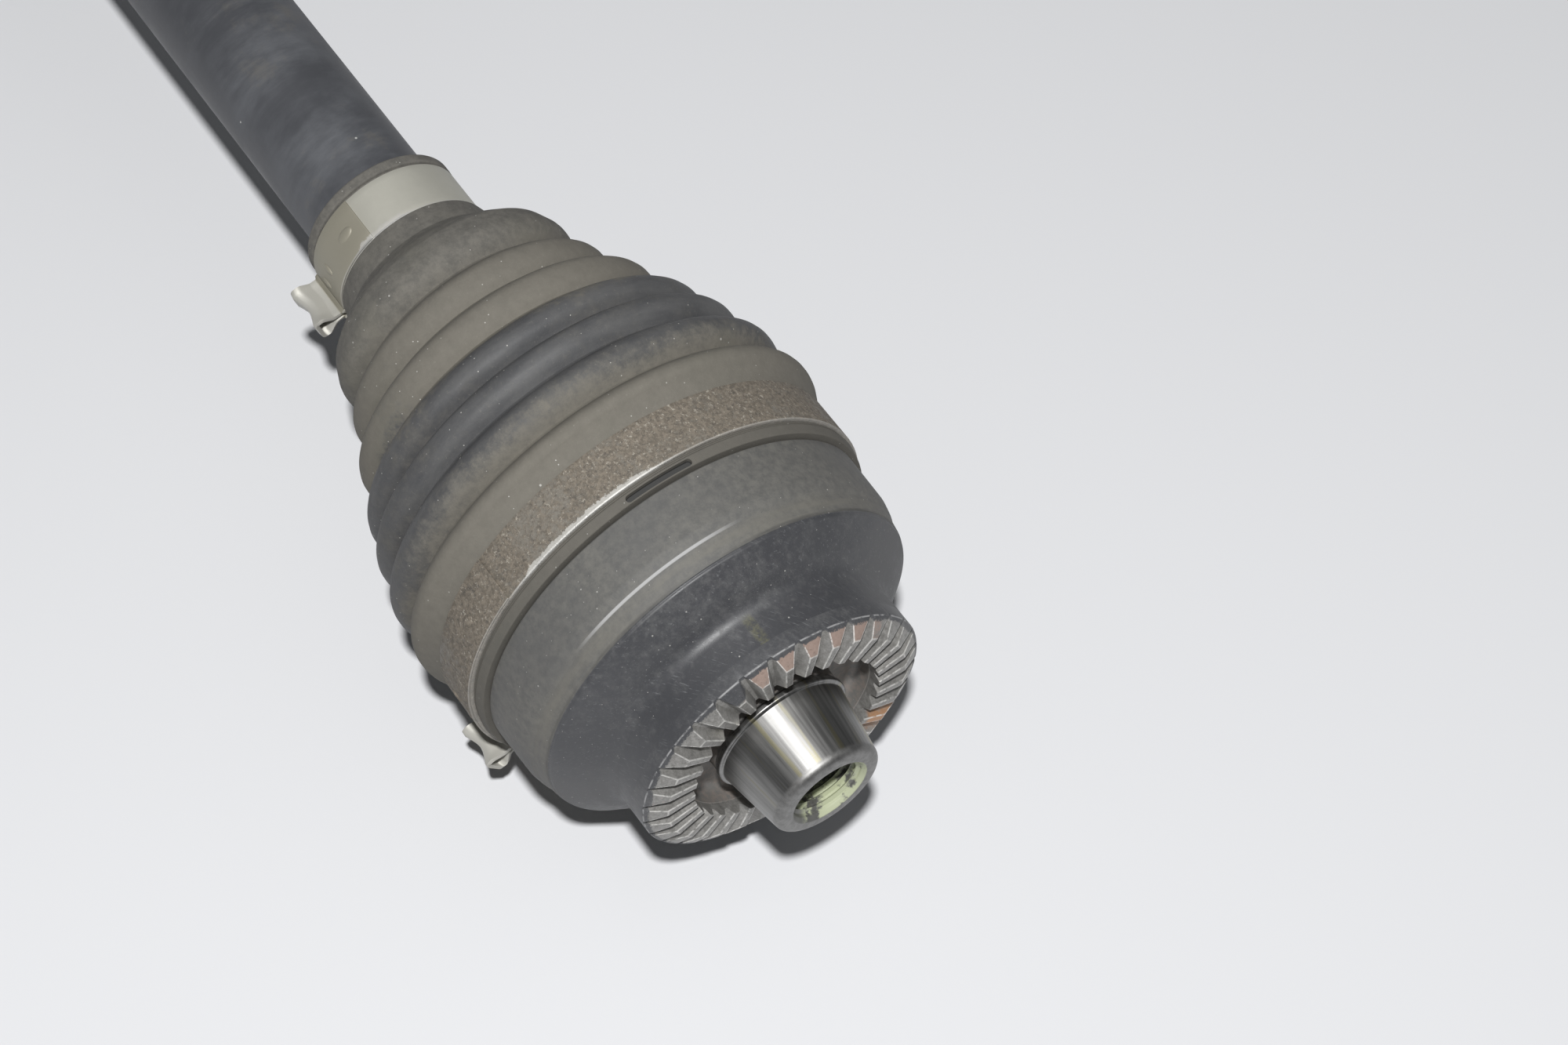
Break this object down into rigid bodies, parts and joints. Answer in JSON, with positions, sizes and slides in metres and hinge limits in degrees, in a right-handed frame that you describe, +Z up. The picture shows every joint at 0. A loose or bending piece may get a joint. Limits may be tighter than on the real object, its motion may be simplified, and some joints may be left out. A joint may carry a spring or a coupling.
{
  "type": "drive shaft",
  "caption": "Rear drive shaft: bar with a fixed ball joint with face teeth and threaded spigot at the wheel end, and a plunging tripod joint at the other, both booted.",
  "frame": {"origin": "on the shaft's axis, in the plane of the outer rim of the face teeth", "axes": "+X along the shaft towards the wheel, +Z up, one trunnion of the tripod upright"},
  "size_m": [0.66, 0.0984, 0.0984],
  "materials": {
    "bar_paint": "thin dark paint over steel, dusty",
    "bell_paint": "gloss black paint over forged steel, bare where turned",
    "machined_steel": "ground and hardened steel",
    "bearing_steel": "polished bearing steel",
    "spring_steel": "dark spring steel",
    "boot_rubber": "matt thermoplastic rubber, dusty",
    "adaptor_plastic": "moulded black plastic",
    "large_clamp_steel": "band steel with brown rust",
    "small_clamp_steel": "dull band steel"
  },
  "bodies": {
    "shaft": {"bar_shaft": "bar_paint", "outer_joint_inner_race": "machined_steel", "inner_race_circlip": "spring_steel", "inner_race_stop_ring": "spring_steel", "tripod_spider": "machined_steel", "spider_circlip": "spring_steel", "spider_stop_ring": "spring_steel", "needle_rollers": "bearing_steel", "roller_washers": "machined_steel", "roller_snap_rings": "spring_steel", "outer_boot_small_clamp": "small_clamp_steel", "inner_boot_small_clamp": "small_clamp_steel"},
    "outer_joint": {"outer_joint_housing": "bell_paint", "outer_boot": "boot_rubber", "outer_boot_large_clamp": "large_clamp_steel"},
    "ball_cage": {"outer_joint_cage": "machined_steel", "outer_joint_balls": "bearing_steel"},
    "top_roller": {"top_roller": "bearing_steel"},
    "front_roller": {"front_roller": "bearing_steel"},
    "back_roller": {"back_roller": "bearing_steel"},
    "inner_joint": {"inner_joint_housing": "bell_paint", "boot_adaptor": "adaptor_plastic", "inner_boot": "boot_rubber", "inner_boot_large_clamp": "small_clamp_steel", "stub_circlip": "spring_steel"}
  },
  "joints": [
    {"name": "outer_articulation", "type": "hinge", "parent": "shaft", "child": "outer_joint", "pos_m": [-0.04, 0, 0], "axis": [0, 0, 1], "range_deg": [-40, 40], "deforming": ["outer_boot"]},
    {"name": "cage_swing", "type": "hinge", "parent": "shaft", "child": "ball_cage", "pos_m": [-0.04, 0, 0], "axis": [0, 0, 1], "range_deg": [-20, 20]},
    {"name": "inner_articulation", "type": "hinge", "parent": "shaft", "child": "top_roller", "pos_m": [-0.51, 0, 0], "axis": [0, 0, 1], "range_deg": [-18, 18], "deforming": ["inner_boot"]},
    {"name": "plunge", "type": "slide", "parent": "top_roller", "child": "inner_joint", "axis": [1, 0, 0], "range_m": [-0.016, 0.016], "deforming": ["inner_boot"]},
    {"name": "front_roller_spin", "type": "hinge", "parent": "shaft", "child": "front_roller", "pos_m": [-0.51, 0, 0], "axis": [0, -0.866, -0.5], "continuous": true},
    {"name": "back_roller_spin", "type": "hinge", "parent": "shaft", "child": "back_roller", "pos_m": [-0.51, 0, 0], "axis": [0, 0.866, -0.5], "continuous": true}
  ],
  "couplings": [
    {"joint": "cage_swing", "follows": "outer_articulation", "ratio": 0.5}
  ]
}
